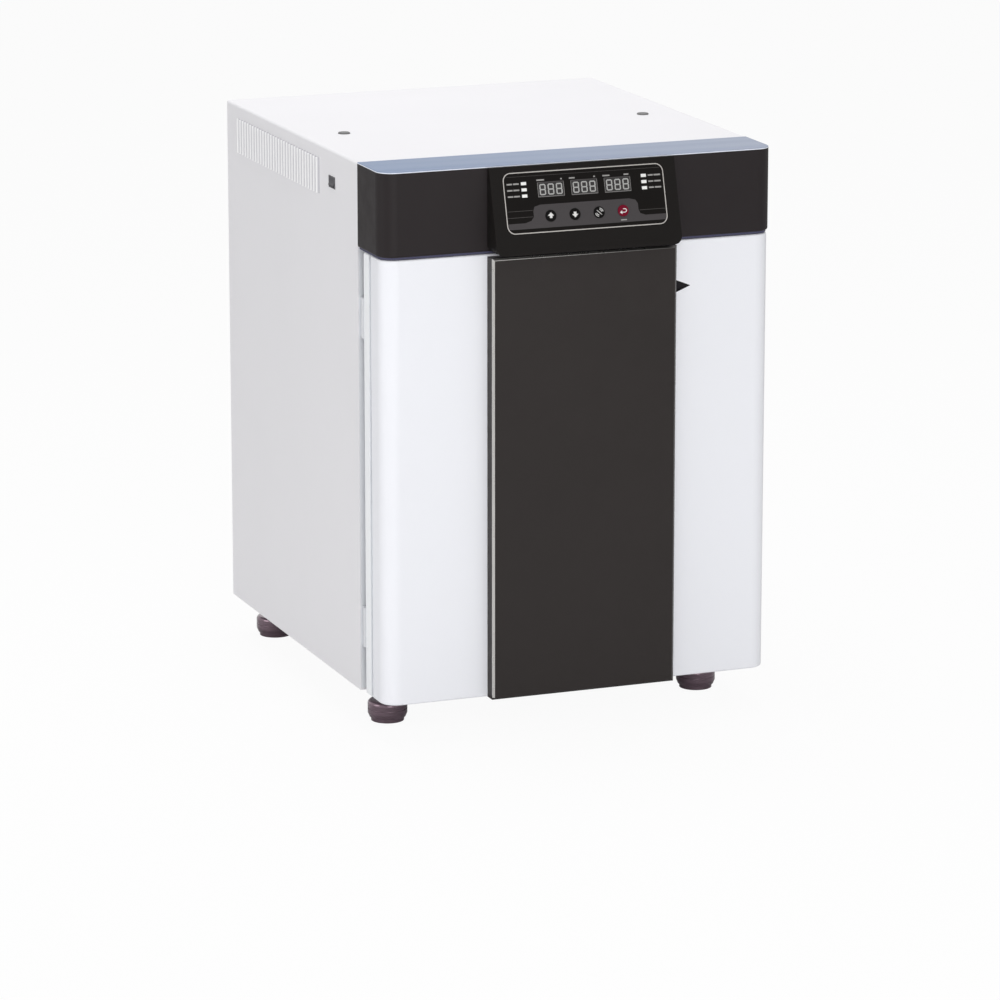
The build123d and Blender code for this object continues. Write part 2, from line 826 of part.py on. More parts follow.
def gas_lines():
    """Three straight gas pipes: inlet to filter, filter to valve, valve to the nozzle in the duct."""
    first = rod_y(gas_tube_radius, filter_end, filter_end + gas_tube_length, gas_x, gas_z)
    second = rod_y(gas_tube_radius, valve_back, filter_start, gas_x, gas_z)
    nozzle_end = chamber_top - nozzle_drop
    third = rod_z(gas_tube_radius, nozzle_end, equipment_top, gas_x, duct_middle)
    return [first, second, third]


def sensor_probes():
    """Gas sensor and thermometer hanging from caps on the equipment plate into the duct."""
    probes = []
    for x, radius in probe_places():
        probe = rod_z(radius, chamber_top - probe_drop, equipment_top, x, duct_middle)
        cap_radius = radius + equipment_sheet + probe_hole_clearance
        probe += rod_z(cap_radius, equipment_top, equipment_top + probe_cap, x, duct_middle)
        probes.append(probe)
    return probes


def equipment_plate():
    """Sheet on top of the insulation that carries the electrical and gas equipment."""
    x = inside_half - equipment_margin
    plate = block(-x, x, chamber_front, inside_back - equipment_margin, insulation_top, equipment_top)
    return plate - service_holes()


def power_supply():
    """Folded sheet box with a rib of cooling slots along its top."""
    x = supply_width / 2
    y0 = back - supply_from_back
    z1 = equipment_top + supply_height
    box = block(supply_x - x, supply_x + x, y0, y0 + supply_depth, equipment_top, z1)
    box = fillet(box.edges().filter_by(Axis.Y).sort_by(Axis.Z)[-2:], trim_bevel)
    slot = Box(supply_width / 2, supply_slot_width, 2 * supply_slot_depth)
    centre = Pos(supply_x, y0 + supply_depth / 2, z1)
    row = GridLocations(0, supply_slot_pitch, 1, supply_slot_count)
    return box - [centre * place * slot for place in row]


def control_board():
    """Circuit board on four posts, with its transformer, relays and terminal strip."""
    y0 = front + control_from_front
    y1 = y0 + control_depth
    x0 = control_x - control_width / 2
    x1 = control_x + control_width / 2
    z0 = equipment_top + control_post_height
    z1 = z0 + board_thickness
    board = block(x0, x1, y0, y1, z0, z1)
    spread_x = control_width - 2 * control_post_inset
    spread_y = control_depth - 2 * control_post_inset
    centre = Pos(control_x, (y0 + y1) / 2, equipment_top + control_post_height / 2)
    for place in GridLocations(spread_x, spread_y, 2, 2):
        board += centre * place * Cylinder(control_post_radius, control_post_height)
    near_x = x0 + transformer_inset
    near_y = y0 + transformer_inset
    board += block(near_x, near_x + transformer_size, near_y, near_y + transformer_size, z1,
                   z1 + transformer_size)
    relay = Box(relay_width, relay_depth, relay_height)
    relays = Pos(control_x + relay_offset, (y0 + y1) / 2, z1 + relay_height / 2)
    for place in GridLocations(relay_pitch, relay_pitch, 3, 2):
        board += relays * place * relay
    strip_y = y1 - terminal_depth
    return board + block(x0 + terminal_inset, x1 - terminal_inset, strip_y - terminal_depth, strip_y, z1,
                         z1 + terminal_height)


def power_inlet():
    """Three-blade appliance inlet: flange outside, body inside, with its socket open to the rear."""
    def centred(width, height, y0, y1, x=0.0):
        x += inlet_x
        return block(x - width / 2, x + width / 2, y0, y1, inlet_z - height / 2, inlet_z + height / 2)
    face = back + inlet_flange
    inlet = centred(inlet_flange_width, inlet_flange_height, back, face)
    inlet = chamfer(inlet.faces().sort_by(Axis.Y)[-1].edges(), trim_bevel / 2)
    inlet += centred(inlet_body_width, inlet_body_height, back - inlet_body_depth, back)
    socket_end = face - inlet_socket_depth
    inlet -= centred(inlet_socket_width, inlet_socket_height, socket_end, face)
    for i in (-1, 0, 1):
        inlet += centred(inlet_blade_thickness, inlet_blade_width, socket_end,
                         socket_end + inlet_blade_length, i * inlet_blade_pitch)
    return inlet


# Mains switch on the left side
switch_y = front + switch_from_front
switch_z = top - switch_below_top
rocker_axis_x = -half + rocker_pivot_depth


def switch_bezel_frame():
    """Snap-in switch frame and body, hollow behind its window for the rocker."""
    def centred(width, height, x0, x1):
        return block(x0, x1, switch_y - width / 2, switch_y + width / 2, switch_z - height / 2,
                     switch_z + height / 2)
    frame = centred(switch_width, switch_height, -half - switch_bezel, -half)
    frame = chamfer(frame.faces().sort_by(Axis.X)[0].edges(), switch_bezel / 2)
    inner_width = switch_width - switch_wall
    inner_height = switch_height - switch_wall
    frame += centred(inner_width, inner_height, -half, -half + switch_body_depth)
    window_width = switch_width - 2 * switch_wall
    window_height = switch_height - 2 * switch_wall
    hollow_end = rocker_axis_x + rocker_depth + rocker_pivot_depth
    return frame - centred(window_width, window_height, -half - switch_bezel, hollow_end)


def mains_rocker():
    """Rocker with a dipped face, resting with its upper half pressed in."""
    outer = rocker_axis_x - rocker_pivot_depth - rocker_proud
    dip = outer + rocker_dip
    inner = rocker_axis_x + rocker_pivot_depth
    z_half = rocker_height / 2
    length = switch_width - 2 * switch_wall - 2 * rocker_clearance
    outline = [(outer, -z_half), (dip, 0), (outer, z_half), (inner, z_half / 2), (inner, -z_half / 2)]
    local = [(x - rocker_axis_x, z) for x, z in outline]
    rocker = prism_y(local, -length / 2, length / 2)
    return Pos(rocker_axis_x, switch_y, switch_z) * Rot(0, rocker_tilt, 0) * rocker


# Head over the door
def head_shell():
    """Black front housing with rounded corners, open to the cabinet and behind the control block."""
    shell = front_rounded(half, head_front, front, head_bottom, trim_bottom, front_corner)
    shell = fillet(front_outline_edges(shell, 0), head_edge)
    inner_corner = front_corner - head_wall
    inner = front_rounded(half - head_wall, head_front + head_wall, front + cut_past,
                          head_bottom + head_wall, trim_bottom + cut_past, inner_corner)
    shell -= inner
    x = block_width / 2 - block_wall
    z0 = head_bottom + head_wall
    return shell - block(-x, x, head_front - cut_past, head_front + head_wall, z0,
                         trim_bottom - block_wall)


def head_top_trim():
    """Pale plate that closes the head, flush with the cabinet top, with a bright bevelled edge."""
    trim = front_rounded(half, head_front, front, trim_bottom, top, front_corner)
    upper = trim.faces().sort_by(Axis.Z)[-1].edges().sort_by(Axis.Y)[:-1]
    return chamfer(upper, trim_bevel)


def head_seal():
    """Soft dark strip under the head that meets the gap over the door."""
    z0 = head_bottom - head_seal_thickness
    outer = half - head_seal_inset
    y0 = head_front + head_seal_inset
    corner = front_corner - head_seal_inset
    strip = front_rounded(outer, y0, front, z0, head_bottom, corner)
    inner = front_rounded(outer - head_seal_width, y0 + head_seal_width, front + cut_past,
                          z0 - cut_past, head_bottom + cut_past, corner - head_seal_width)
    return strip - inner


# The control block's slanting face has its own axes: u across, v down the slope, h outwards
block_bottom = head_bottom - block_drop
block_top_y = head_front - block_top_reach
block_bottom_y = head_front - block_reach
slope_angle = atan2(block_reach - block_top_reach, trim_bottom - block_bottom)
slope_normal = (0, -cos(slope_angle), sin(slope_angle))
slope_plane = Plane(origin=(0, block_top_y, trim_bottom), x_dir=(1, 0, 0), z_dir=slope_normal)
overlay_back = -overlay_thickness
wall_back = -overlay_thickness - block_wall
board_front = -board_depth
switch_front = board_front + key_switch_height
key_inner = switch_front + key_travel + key_clearance
key_row = [(i - 1.5) * key_pitch for i in range(4)]
display_row = [(i - 1) * display_pitch for i in range(3)]
lamp_places = [(side * lamp_column, lamp_from_top + row * lamp_pitch)
               for side in (-1, 1) for row in range(lamp_rows)]


def on_slope(u, v, h):
    """Location at u across, v down and h out from the slanting face."""
    return slope_plane.location * Pos(u, -v, h)


def slope_box(u, v, width, height, h0, h1):
    """A box lying on the slanting face."""
    return on_slope(u, v, (h0 + h1) / 2) * Box(width, height, h1 - h0)


def slope_rod(u, v, radius, h0, h1):
    """A round rod standing square to the slanting face."""
    return on_slope(u, v, (h0 + h1) / 2) * Cylinder(radius, h1 - h0)


def slope_plate(u, v, width, height, corner, h0, h1):
    """A plate with rounded corners lying on the slanting face."""
    return on_slope(u, v, h0) * extrude(RectangleRounded(width, height, corner), amount=h1 - h0)


overlay_middle = overlay_from_top + overlay_height / 2


def control_block():
    """Hollow wedge with a slanting face, recessed for the overlay and pierced for keys and displays."""
    x = block_width / 2
    outline = [(head_front, trim_bottom), (block_top_y, trim_bottom), (block_bottom_y, block_bottom),
               (head_front, block_bottom)]
    wedge = prism_x(outline, -x, x)
    height = trim_bottom - block_bottom
    tall = wall_plate(block_width, 2 * height, block_corner, block_bottom_y - cut_past, head_front, 0,
                      trim_bottom)
    wedge = wedge & tall
    skin = (block_wall + overlay_thickness) / cos(slope_angle)
    lean = block_wall * tan(slope_angle)
    hollow = [(head_front, trim_bottom - block_wall), (block_top_y + skin - lean, trim_bottom - block_wall),
              (block_bottom_y + skin + lean, block_bottom + block_wall),
              (head_front, block_bottom + block_wall)]
    wedge -= prism_x(hollow, -x + block_wall, x - block_wall)
    wedge -= slope_plate(0, overlay_middle, overlay_width, overlay_height, overlay_corner, overlay_back,
                         cut_past)
    for u in key_row:
        wedge -= slope_rod(u, key_from_top, key_radius + key_clearance, -board_depth, cut_past)
    for u in display_row:
        wedge -= slope_box(u, display_from_top, display_width, display_height, -board_depth, cut_past)
    for u, v in lamp_places:
        wedge -= slope_box(u, v, lamp_width, lamp_height, -board_depth, cut_past)
    return wedge


def control_overlay():
    """Thin black panel in the slanting face, with windows for keys, displays and lamps."""
    sheet = slope_plate(0, overlay_middle, overlay_width, overlay_height, overlay_corner, overlay_back,
                        0)
    for u in key_row:
        sheet -= slope_rod(u, key_from_top, key_radius + key_clearance, -board_depth, cut_past)
    for u in display_row:
        sheet -= slope_box(u, display_from_top, display_width, display_height, -board_depth, cut_past)
    for u, v in lamp_places:
        sheet -= slope_box(u, v, lamp_width, lamp_height, -board_depth, cut_past)
    return sheet


def display_lenses():
    """Three smoked windows, set just below the overlay."""
    front_h = -key_clearance
    return [slope_box(u, display_from_top, display_width, display_height, wall_back, front_h)
            for u in display_row]


def indicator_lamps():
    """Six light pipes, three in a column at each side."""
    return [slope_box(u, v, lamp_width, lamp_height, wall_back, 0) for u, v in lamp_places]


def display_board():
    """Circuit board behind the slope, with posts, display modules and the switches under the keys."""
    width = overlay_width - 2 * board_margin
    height = overlay_height - 2 * board_margin
    back_h = board_front - board_thickness
    board = slope_box(0, overlay_middle, width, height, back_h, board_front)
    spread_u = width - 2 * board_post_radius
    spread_v = height - 2 * board_post_radius
    for place in GridLocations(spread_u, spread_v, 2, 2):
        post = Cylinder(board_post_radius, board_depth + wall_back)
        board += on_slope(0, overlay_middle, (board_front + wall_back) / 2) * place * post
    module_front = board_front + display_module_depth
    for u in display_row:
        board += slope_box(u, display_from_top, display_width, display_height, board_front, module_front)
    for u in key_row:
        board += slope_box(u, key_from_top, key_radius, key_radius, board_front, switch_front)
    return board


def control_key(u):
    """Round key cap on its stem; the cap stands just proud of the overlay."""
    cap = slope_rod(u, key_from_top, key_radius, key_stand - key_cap_thickness, key_stand)
    return cap + slope_rod(u, key_from_top, key_stem_radius, key_inner, key_stand - key_cap_thickness)


# Outer door
scoop_edge_x = centre_panel_width / 2
scoop_z = centre_panel_top - scoop_below_top


def scoop_wedge(grow):
    """Three-sided pocket, deepest behind the centre panel's edge and running out to the right."""
    x0 = scoop_edge_x - scoop_behind_panel - grow
    x1 = scoop_edge_x + scoop_length + 2 * grow
    z_half = scoop_half_height + grow
    depth = scoop_depth + grow
    front_view = [(x0, scoop_z - z_half), (x0, scoop_z + z_half), (x1, scoop_z)]
    ramp = [(x0, head_front), (x1, head_front), (x0, head_front + depth)]
    prism = prism_y(front_view, head_front, head_front + depth)
    return prism & prism_z(ramp, scoop_z - z_half, scoop_z + z_half)


def door_skin():
    """Pressed white front of the door, with large upright corners and softened ends."""
    skin = front_rounded(door_half, head_front, skin_back, door_bottom, door_top, front_corner)
    skin = fillet(front_outline_edges(skin, 0) + front_outline_edges(skin, -1), door_edge)
    wall = door_skin_wall
    skin -= front_rounded(door_half - wall, head_front + wall, skin_back + cut_past, door_bottom + wall,
                          door_top - wall, front_corner - wall)
    return skin - scoop_wedge(scoop_wall)


def inner_panel_outline(wall, past):
    """Rim and groove of the inner panel, shrunk by a wall; used outside and inside."""
    x = door_half - wall
    z0 = door_bottom + wall
    z1 = door_top - wall
    rim = block(-x, x, rim_front, door_back - wall, z0, z1)
    groove_x = x - groove_inset
    groove = block(-groove_x, groove_x, skin_back - past, rim_front, z0 + groove_inset, z1 - groove_inset)
    return rim, groove


def door_inner_panel():
    """Moulded rear half of the door: an inset groove, a full rim and a shallow dished back."""
    rim, groove = inner_panel_outline(0, 0)
    rim = fillet(rim.edges().filter_by(Axis.Y), door_edge)
    panel = rim + groove
    inner_x = door_half - groove_inset - inner_panel_wall
    z0 = door_bottom + groove_inset + inner_panel_wall
    z1 = door_top - groove_inset - inner_panel_wall
    core_back = door_back - inner_panel_wall - dish_depth
    panel -= block(-inner_x, inner_x, skin_back - cut_past, core_back, z0, z1)
    dish = wall_plate(cabinet_width - 2 * dish_margin, door_height - 2 * dish_margin, dish_corner,
                      door_back - dish_depth, door_back + cut_past, 0, door_middle)
    panel -= dish
    return panel


def door_core():
    """Insulating core that fills the skin and the inner panel."""
    wall = door_skin_wall
    core = front_rounded(door_half - wall, head_front + wall, skin_back, door_bottom + wall,
                         door_top - wall, front_corner - wall)
    inner_x = door_half - groove_inset - inner_panel_wall
    z0 = door_bottom + groove_inset + inner_panel_wall
    z1 = door_top - groove_inset - inner_panel_wall
    core += block(-inner_x, inner_x, skin_back, door_back - inner_panel_wall - dish_depth, z0, z1)
    return core - scoop_wedge(scoop_wall)


def grip_insert():
    """Dark lining of the finger scoop."""
    return scoop_wedge(scoop_wall) - scoop_wedge(0)


def centre_panel_body(bevel):
    """Block of the centre panel with its front edges bevelled."""
    x = centre_panel_width / 2
    body = block(-x, x, centre_panel_front, head_front, door_bottom, centre_panel_top)
    return chamfer(body.faces().sort_by(Axis.Y)[0].edges(), bevel)


def centre_panel():
    """Black raised panel, a bevelled pan with its open side on the door."""
    panel = centre_panel_body(centre_panel_bevel)
    x = centre_panel_width / 2 - centre_panel_wall
    inner = block(-x, x, centre_panel_front + centre_panel_wall, head_front,
                  door_bottom + centre_panel_wall, centre_panel_top - centre_panel_wall)
    bevel = centre_panel_bevel / 2
    return panel - chamfer(inner.faces().sort_by(Axis.Y)[0].edges(), bevel)


def centre_panel_trim():
    """Bright strip that lines the panel's bevel all round."""
    return centre_panel_body(centre_panel_bevel - bright_strip) - centre_panel_body(centre_panel_bevel)


def door_gasket():
    """Soft magnetic seal on the back of the door, square to the face frame."""
    z0 = door_bottom + gasket_inset
    z1 = door_top - gasket_inset
    return ring_gasket(half - gasket_inset, z0, z1, gasket_width, door_back, front, gasket_width)


# Outer door hinges
hinge_x = -half + hinge_axis_inset
hinge_y = front - hinge_axis_reach
hinge_starts = (door_bottom + hinge_end_offset, door_top - hinge_end_offset - hinge_length)


def door_hinge_fixed(z0):
    """Two knuckles and a pin on a leaf screwed to the face frame."""
    end = hinge_length / 4
    leaf_end = hinge_x + hinge_leaf_width
    z1 = z0 + hinge_length
    hinge = block(hinge_x - hinge_web / 2, leaf_end, front - hinge_leaf, front, z0, z1)
    for a, b in ((z0, z0 + end), (z1 - end, z1)):
        hinge += rod_z(hinge_knuckle_radius, a, b, hinge_x, hinge_y)
        hinge += block(hinge_x - hinge_web / 2, hinge_x + hinge_web / 2, hinge_y, front, a, b)
    return hinge + rod_z(hinge_pin_radius, z0, z1, hinge_x, hinge_y)


def door_hinge_moving(z0):
    """Middle knuckle on a leaf screwed to the inner panel."""
    end = hinge_length / 4 + knuckle_gap
    a = z0 + end
    b = z0 + hinge_length - end
    leaf_end = hinge_x + hinge_leaf_width
    hinge = block(hinge_x - hinge_web / 2, leaf_end, door_back, door_back + hinge_leaf, a, b)
    hinge += rod_z(hinge_knuckle_radius, a, b, hinge_x, hinge_y)
    hinge += block(hinge_x - hinge_web / 2, hinge_x + hinge_web / 2, door_back, hinge_y, a, b)
    return hinge - rod_z(hinge_pin_radius + pin_clearance, a, b, hinge_x, hinge_y)


# Glass door, its hinges and its latch
glass_half = chamber_half + glass_overlap
glass_bottom = chamber_floor - glass_overlap
glass_top = chamber_top + glass_overlap
glass_back = front - glass_stand
glass_front = glass_back - glass_thickness
glass_hinge_x = -glass_half - glass_hinge_offset
glass_hinge_y = glass_front - pin_clearance
glass_hinge_starts = (glass_bottom + glass_corner, glass_top - glass_corner - glass_hinge_length)


def glass_pane():
    """Toughened glass with rounded corners."""
    height = glass_top - glass_bottom
    return wall_plate(2 * glass_half, height, glass_corner, glass_front, glass_back, 0, chamber_middle)


def glass_hinge_fixed(z0):
    """Two small knuckles and a pin standing off the face frame."""
    end = glass_hinge_length / 4
    z1 = z0 + glass_hinge_length
    r = glass_knuckle_radius
    hinge = rod_z(glass_pin_radius, z0, z1, glass_hinge_x, glass_hinge_y)
    for a, b in ((z0, z0 + end), (z1 - end, z1)):
        hinge += rod_z(r, a, b, glass_hinge_x, glass_hinge_y)
        hinge += block(glass_hinge_x - r, glass_hinge_x + r, glass_hinge_y, front, a, b)
    return hinge + block(glass_hinge_x - r, glass_hinge_x + r, front - glass_bracket_sheet, front, z0, z1)


def glass_hinge_clip(z0):
    """Middle knuckle with a clip plate bonded to the front of the glass."""
    end = glass_hinge_length / 4 + knuckle_gap
    a = z0 + end
    b = z0 + glass_hinge_length - end
    r = glass_knuckle_radius
    clip = rod_z(r, a, b, glass_hinge_x, glass_hinge_y)
    clip += block(glass_hinge_x, glass_hinge_x + glass_clip_length, glass_front - hinge_leaf, glass_front,
                  a, b)
    return clip - rod_z(glass_pin_radius + pin_clearance, a, b, glass_hinge_x, glass_hinge_y)


latch_x = glass_half + latch_offset


def latch_pin():
    """Fixed pin of the latch on the face frame."""
    return rod_y(latch_pin_radius, front - latch_boss_depth, front, latch_x, chamber_middle)


def glass_latch():
    """Turning lever beside the glass; it hangs down when open and lies over the pane when closed."""
    boss = rod_y(latch_boss_radius, front - latch_boss_depth, front - knuckle_gap, latch_x,
                 chamber_middle)
    lever_back = glass_front - latch_glass_gap
    half_width = latch_lever_width / 2
    lever = wall_plate(latch_lever_width, latch_lever_length, half_width - knuckle_gap, lever_back
                       - latch_lever_thickness, lever_back, latch_x, chamber_middle
                       - latch_lever_length / 2)
    bore = rod_y(latch_pin_radius + pin_clearance, front - latch_boss_depth, front, latch_x,
                 chamber_middle)
    return boss + lever - bore


# Write every sub-part
def build():
    os.makedirs("parts", exist_ok=True)
    save("top_cover", top_cover())
    save("left_side_panel", left_side_panel())
    save("right_side_panel", side_panel())
    save("back_panel", back_panel())
    save("base_pan", base_pan())
    save("top_plugs", top_plug(-top_plug_spread), top_plug(top_plug_spread))
    for name, (x, y) in foot_places.items():
        save("foot_" + name, levelling_foot(x, y))

    save("chamber_insulation", *insulation())
    save("chamber_liner", chamber_liner())
    save("heating_films", *heating_films())
    save("front_frame", front_frame())
    save("glass_door_gasket", glass_door_gasket())
    rail = shelf_rail()
    save("shelf_rails", rail, mirrored(rail))
    for name, level in zip(("lower", "middle", "upper"), shelf_levels):
        save("shelf_" + name, shelf(level))
    save("water_pan", water_pan())
    save("fan_cover", fan_cover())
    save("fan_wheel", fan_wheel())
    save("fan_motor", fan_motor())

    save("port_sleeve", port_sleeve())
    save("port_plug", port_plug())
    save("gas_inlet", gas_inlet())
    save("gas_filter", gas_filter())
    save("gas_valve", gas_valve())
    save("gas_lines", *gas_lines())
    save("sensor_probes", *sensor_probes())
    save("equipment_plate", equipment_plate())
    save("power_supply", power_supply())
    save("control_board", control_board())
    save("power_inlet", power_inlet())
    save("switch_bezel", switch_bezel_frame())
    save("mains_rocker", mains_rocker())

    save("head_shell", head_shell())
    save("head_top_trim", head_top_trim())
    save("head_seal", head_seal())
    save("control_block", control_block())
    save("control_overlay", control_overlay())
    save("display_lenses", *display_lenses())
    save("indicator_lamps", *indicator_lamps())
    save("display_board", display_board())
    for name, u in zip(("up", "down", "mute", "set"), key_row):
        save("key_" + name, control_key(u))

    save("door_skin", door_skin())
    save("door_core", door_core())
    save("door_inner_panel", door_inner_panel())
    save("door_gasket", door_gasket())
    save("door_centre_panel", centre_panel())
    save("centre_panel_trim", centre_panel_trim())
    save("grip_insert", grip_insert())
    fixed = [door_hinge_fixed(z) for z in hinge_starts]
    fixed += [glass_hinge_fixed(z) for z in glass_hinge_starts]
    save("hinge_brackets", *fixed, latch_pin())
    save("door_hinge_leaves", *[door_hinge_moving(z) for z in hinge_starts])
    save("glass_pane", glass_pane())
    save("glass_door_hinges", *[glass_hinge_clip(z) for z in glass_hinge_starts])
    save("glass_latch", glass_latch())


build()
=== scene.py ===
import json
from math import cos, pi, radians, sin

import bmesh
import bpy
from mathutils import Matrix, Vector


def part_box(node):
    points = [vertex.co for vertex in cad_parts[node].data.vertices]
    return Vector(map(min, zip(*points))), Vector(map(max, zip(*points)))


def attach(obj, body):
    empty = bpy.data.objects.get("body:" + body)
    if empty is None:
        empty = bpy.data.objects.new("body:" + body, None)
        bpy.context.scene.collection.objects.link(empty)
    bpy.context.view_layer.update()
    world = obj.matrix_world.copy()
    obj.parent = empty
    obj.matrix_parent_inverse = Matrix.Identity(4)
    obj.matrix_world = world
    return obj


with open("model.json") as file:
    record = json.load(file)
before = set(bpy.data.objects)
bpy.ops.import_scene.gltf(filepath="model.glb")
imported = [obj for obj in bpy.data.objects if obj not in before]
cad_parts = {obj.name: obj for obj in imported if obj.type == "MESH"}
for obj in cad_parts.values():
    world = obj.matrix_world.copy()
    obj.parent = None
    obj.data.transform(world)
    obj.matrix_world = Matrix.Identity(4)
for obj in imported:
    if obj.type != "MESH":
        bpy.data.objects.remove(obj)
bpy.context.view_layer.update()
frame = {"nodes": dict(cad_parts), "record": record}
nodes = frame["nodes"]
scene = bpy.context.scene


# Colours are written as picture values, from 0 to 255
def linear(value):
    value /= 255
    return value / 12.92 if value <= 0.04045 else ((value + 0.055) / 1.055) ** 2.4


def tint(red, green, blue):
    return (linear(red), linear(green), linear(blue), 1.0)


# Helpers for node trees
def set_inputs(node, values):
    for name, value in values.items():
        node.inputs[name].default_value = value


def feed(tree, socket, value):
    """Give an input a fixed value, or the output of another node to follow."""
    if isinstance(value, bpy.types.NodeSocket):
        tree.links.new(value, socket)
    else:
        socket.default_value = value


def new_material(name):
    """A new material, its node tree and its surface shader."""
    material = bpy.data.materials.new(name)
    material.use_nodes = True
    tree = material.node_tree
    return material, tree, tree.nodes["Principled BSDF"]


def object_axes(tree):
    """The three coordinates in object space, as outputs named X, Y and Z."""
    coordinates = tree.nodes.new("ShaderNodeTexCoord")
    axes = tree.nodes.new("ShaderNodeSeparateXYZ")
    tree.links.new(coordinates.outputs["Object"], axes.inputs["Vector"])
    return axes.outputs


def remap(tree, value, from_low, from_high, to_low, to_high):
    """A value carried from one range to another, and held at both ends."""
    spread = tree.nodes.new("ShaderNodeMapRange")
    set_inputs(spread, {"From Min": from_low, "From Max": from_high,
                        "To Min": to_low, "To Max": to_high})
    tree.links.new(value, spread.inputs["Value"])
    return spread.outputs["Result"]


def arithmetic(tree, operation, *values, clamp=False):
    """One step of arithmetic on fixed values or outputs of other nodes."""
    step = tree.nodes.new("ShaderNodeMath")
    step.operation = operation
    step.use_clamp = clamp
    for socket, value in zip(step.inputs, values):
        feed(tree, socket, value)
    return step.outputs[0]


def mixed(tree, factor, first, second):
    """A colour between two others, each fixed or the output of another node."""
    mix = tree.nodes.new("ShaderNodeMix")
    mix.data_type = "RGBA"
    for name, value in (("Factor", factor), ("A", first), ("B", second)):
        feed(tree, mix.inputs[name], value)
    return mix.outputs["Result"]


def mix_at_output(tree, factor, first, second, output):
    """Show a mix of two shaders at the tree's output node."""
    mix = tree.nodes.new("ShaderNodeMixShader")
    for socket, value in zip(mix.inputs, (factor, first, second)):
        tree.links.new(value, socket)
    tree.links.new(mix.outputs[0], tree.nodes[output].inputs["Surface"])


# Materials. Nearly all noise lies between noise_low and noise_high
noise_low = 0.3
noise_high = 0.7
shade_detail = 3
gloss_detail = 4
grain_detail = 2
grain_depth = 0.0002
coat_roughness = 0.08
least_roughness = 0.02
looks = {}


def noise_factor(tree, scale, detail, low, high, stretch=(1, 1, 1)):
    """Noise in object space, mapped to the range from low to high."""
    coordinates = tree.nodes.new("ShaderNodeTexCoord")
    mapping = tree.nodes.new("ShaderNodeMapping")
    set_inputs(mapping, {"Scale": stretch})
    noise = tree.nodes.new("ShaderNodeTexNoise")
    set_inputs(noise, {"Scale": scale, "Detail": detail})
    tree.links.new(coordinates.outputs["Object"], mapping.inputs["Vector"])
    tree.links.new(mapping.outputs["Vector"], noise.inputs["Vector"])
    return remap(tree, noise.outputs["Fac"], noise_low, noise_high, low, high)


def finish(name, colour, roughness, metallic=0.0, coat=0.0, specular=0.5, shade=0.03,
           shade_scale=6.0, rough_spread=0.05, rough_scale=40.0, grain=0.0, grain_scale=900.0,
           stretch=(1, 1, 1)):
    """Add a look with slow colour variation, uneven gloss and, if asked for, a fine grain."""
    material, tree, shader = new_material(name)
    set_inputs(shader, {"Metallic": metallic, "Coat Weight": coat,
                        "Coat Roughness": coat_roughness, "Specular IOR Level": specular})
    darker = [c * (1 - shade) for c in colour[:3]] + [1]
    lighter = [min(1, c * (1 + shade)) for c in colour[:3]] + [1]
    slow = noise_factor(tree, shade_scale, shade_detail, 0, 1, stretch)
    tree.links.new(mixed(tree, slow, darker, lighter), shader.inputs["Base Color"])
    low = max(least_roughness, roughness - rough_spread)
    high = roughness + rough_spread
    gloss = noise_factor(tree, rough_scale, gloss_detail, low, high, stretch)
    tree.links.new(gloss, shader.inputs["Roughness"])
    if grain:
        bump = tree.nodes.new("ShaderNodeBump")
        set_inputs(bump, {"Strength": grain, "Distance": grain_depth})
        height = noise_factor(tree, grain_scale, grain_detail, 0, 1, stretch)
        tree.links.new(height, bump.inputs["Height"])
        tree.links.new(bump.outputs["Normal"], shader.inputs["Normal"])
    looks[name] = material


def clear_glass(name, colour, rough_scale, roughness):
    """Add a look of clear glass with slight smears."""
    material, tree, shader = new_material(name)
    set_inputs(shader, {"Transmission Weight": 1.0, "Base Color": colour, "IOR": 1.5})
    smears = noise_factor(tree, rough_scale, grain_detail, 0.0, roughness)
    tree.links.new(smears, shader.inputs["Roughness"])
    looks[name] = material


def paint_light_across(look, node, left_share, right_share, colour, edge, edge_painted_light):
    """Paint light and shade into a look: mix in a colour by a share that changes from the
    node's left end to its right.

    The node's lowest few millimetres, up to edge, get a colour of their own, painted shade
    on one trim and a painted highlight on the other.
    """
    tree = looks[look].node_tree
    low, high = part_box(node)
    axes = object_axes(tree)
    share = remap(tree, axes["X"], low.x, high.x, left_share, right_share)
    bottom = arithmetic(tree, "LESS_THAN", axes["Z"], low.z + edge)
    base = tree.nodes["Principled BSDF"].inputs["Base Color"]
    faded = mixed(tree, share, base.links[0].from_socket, colour)
    tree.links.new(mixed(tree, bottom, faded, edge_painted_light), base)


def paint_louvre_shade_and_highlight(look, hood_share, painted_shade_share, painted_highlight_share):
    """Give a paint painted shade, grey at the roots of the louvre hoods, and a painted
    highlight, nearly white, at their lips.

    The shares say how far out from the wall the hoods' painted shade starts, how far it
    reaches and where the painted highlight begins, the lips being at 1.
    """
    tree = looks[look].node_tree
    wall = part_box("top_cover")[1].x
    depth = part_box("right_side_panel")[1].x - wall
    outwards = arithmetic(tree, "ABSOLUTE", object_axes(tree)["X"])
    rise = remap(tree, outwards, wall + painted_shade_share * depth, wall + painted_highlight_share * depth, 0, 1)
    hood = arithmetic(tree, "GREATER_THAN", outwards, wall + hood_share * depth)
    # Painted shade grey at the hood roots, painted highlight near white at the lips
    slope = mixed(tree, rise, tint(196, 195, 201), tint(254, 254, 255))
    base = tree.nodes["Principled BSDF"].inputs["Base Color"]
    tree.links.new(mixed(tree, hood, base.links[0].from_socket, slope), base)


# Brushed metals have noise that is drawn out along the brushing
along_x = (0.02, 1, 1)
along_y = (1, 0.02, 1)

